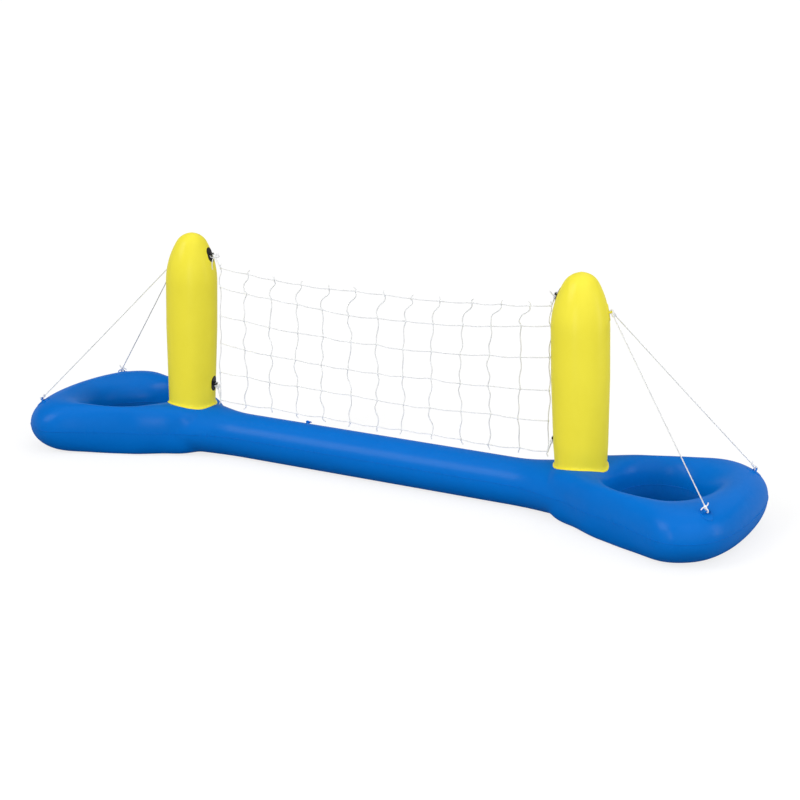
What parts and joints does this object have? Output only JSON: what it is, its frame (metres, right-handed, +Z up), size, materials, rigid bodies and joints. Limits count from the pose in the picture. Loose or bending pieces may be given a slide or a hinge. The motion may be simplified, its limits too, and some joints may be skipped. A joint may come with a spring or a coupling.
{
  "type": "inflatable pool volleyball net",
  "caption": "Inflatable floating volleyball set: a tube float with a ring at each end, two bullet-shaped posts, a cord net tied between them and tight guy cords.",
  "frame": {"origin": "bottom centre of the bounding box, under the middle of the float", "axes": "+X along the float towards the right ring, +Y to the back, +Z up"},
  "size_m": [2.4582, 0.6164, 0.7256],
  "materials": {
    "float_film": "blue PVC film, satin gloss",
    "post_film": "yellow PVC film, satin gloss",
    "tab_black": "black moulded soft PVC",
    "valve_clear": "milky clear soft PVC",
    "cord": "white twisted polyester cord"
  },
  "bodies": {
    "set": {"float_top_sheet": "float_film", "float_bottom_sheet": "float_film", "float_valve_seat": "float_film", "left_post": "post_film", "left_post_weld": "post_film", "left_upper_net_tab": "tab_black", "left_lower_net_tab": "tab_black", "left_guy_tab": "post_film", "left_post_valve_seat": "post_film", "left_front_ring_tab": "float_film", "left_front_guy_line": "cord", "left_back_ring_tab": "float_film", "left_back_guy_line": "cord", "right_post": "post_film", "right_post_weld": "post_film", "right_upper_net_tab": "tab_black", "right_lower_net_tab": "tab_black", "right_guy_tab": "post_film", "right_post_valve_seat": "post_film", "right_front_ring_tab": "float_film", "right_front_guy_line": "cord", "right_back_ring_tab": "float_film", "right_back_guy_line": "cord", "net": "cord"},
    "float_valve": {"float_valve_stem": "valve_clear", "float_valve_strap": "valve_clear"},
    "float_plug": {"float_valve_plug": "valve_clear"},
    "left_post_valve": {"left_post_valve_stem": "valve_clear", "left_post_valve_strap": "valve_clear"},
    "left_post_plug": {"left_post_valve_plug": "valve_clear"},
    "right_post_valve": {"right_post_valve_stem": "valve_clear", "right_post_valve_strap": "valve_clear"},
    "right_post_plug": {"right_post_valve_plug": "valve_clear"}
  },
  "joints": [
    {"name": "float_valve_push", "type": "slide", "parent": "set", "child": "float_valve", "axis": [0, -0.7193, -0.6947], "range_m": [0, 0.009]},
    {"name": "float_plug_pull", "type": "slide", "parent": "float_valve", "child": "float_plug", "axis": [0, 0.7193, 0.6947], "range_m": [0, 0.009]},
    {"name": "left_post_valve_push", "type": "slide", "parent": "set", "child": "left_post_valve", "axis": [0, -1, 0], "range_m": [0, 0.009]},
    {"name": "left_post_plug_pull", "type": "slide", "parent": "left_post_valve", "child": "left_post_plug", "axis": [0, 1, 0], "range_m": [0, 0.009]},
    {"name": "right_post_valve_push", "type": "slide", "parent": "set", "child": "right_post_valve", "axis": [0, -1, 0], "range_m": [0, 0.009]},
    {"name": "right_post_plug_pull", "type": "slide", "parent": "right_post_valve", "child": "right_post_plug", "axis": [0, 1, 0], "range_m": [0, 0.009]}
  ]
}
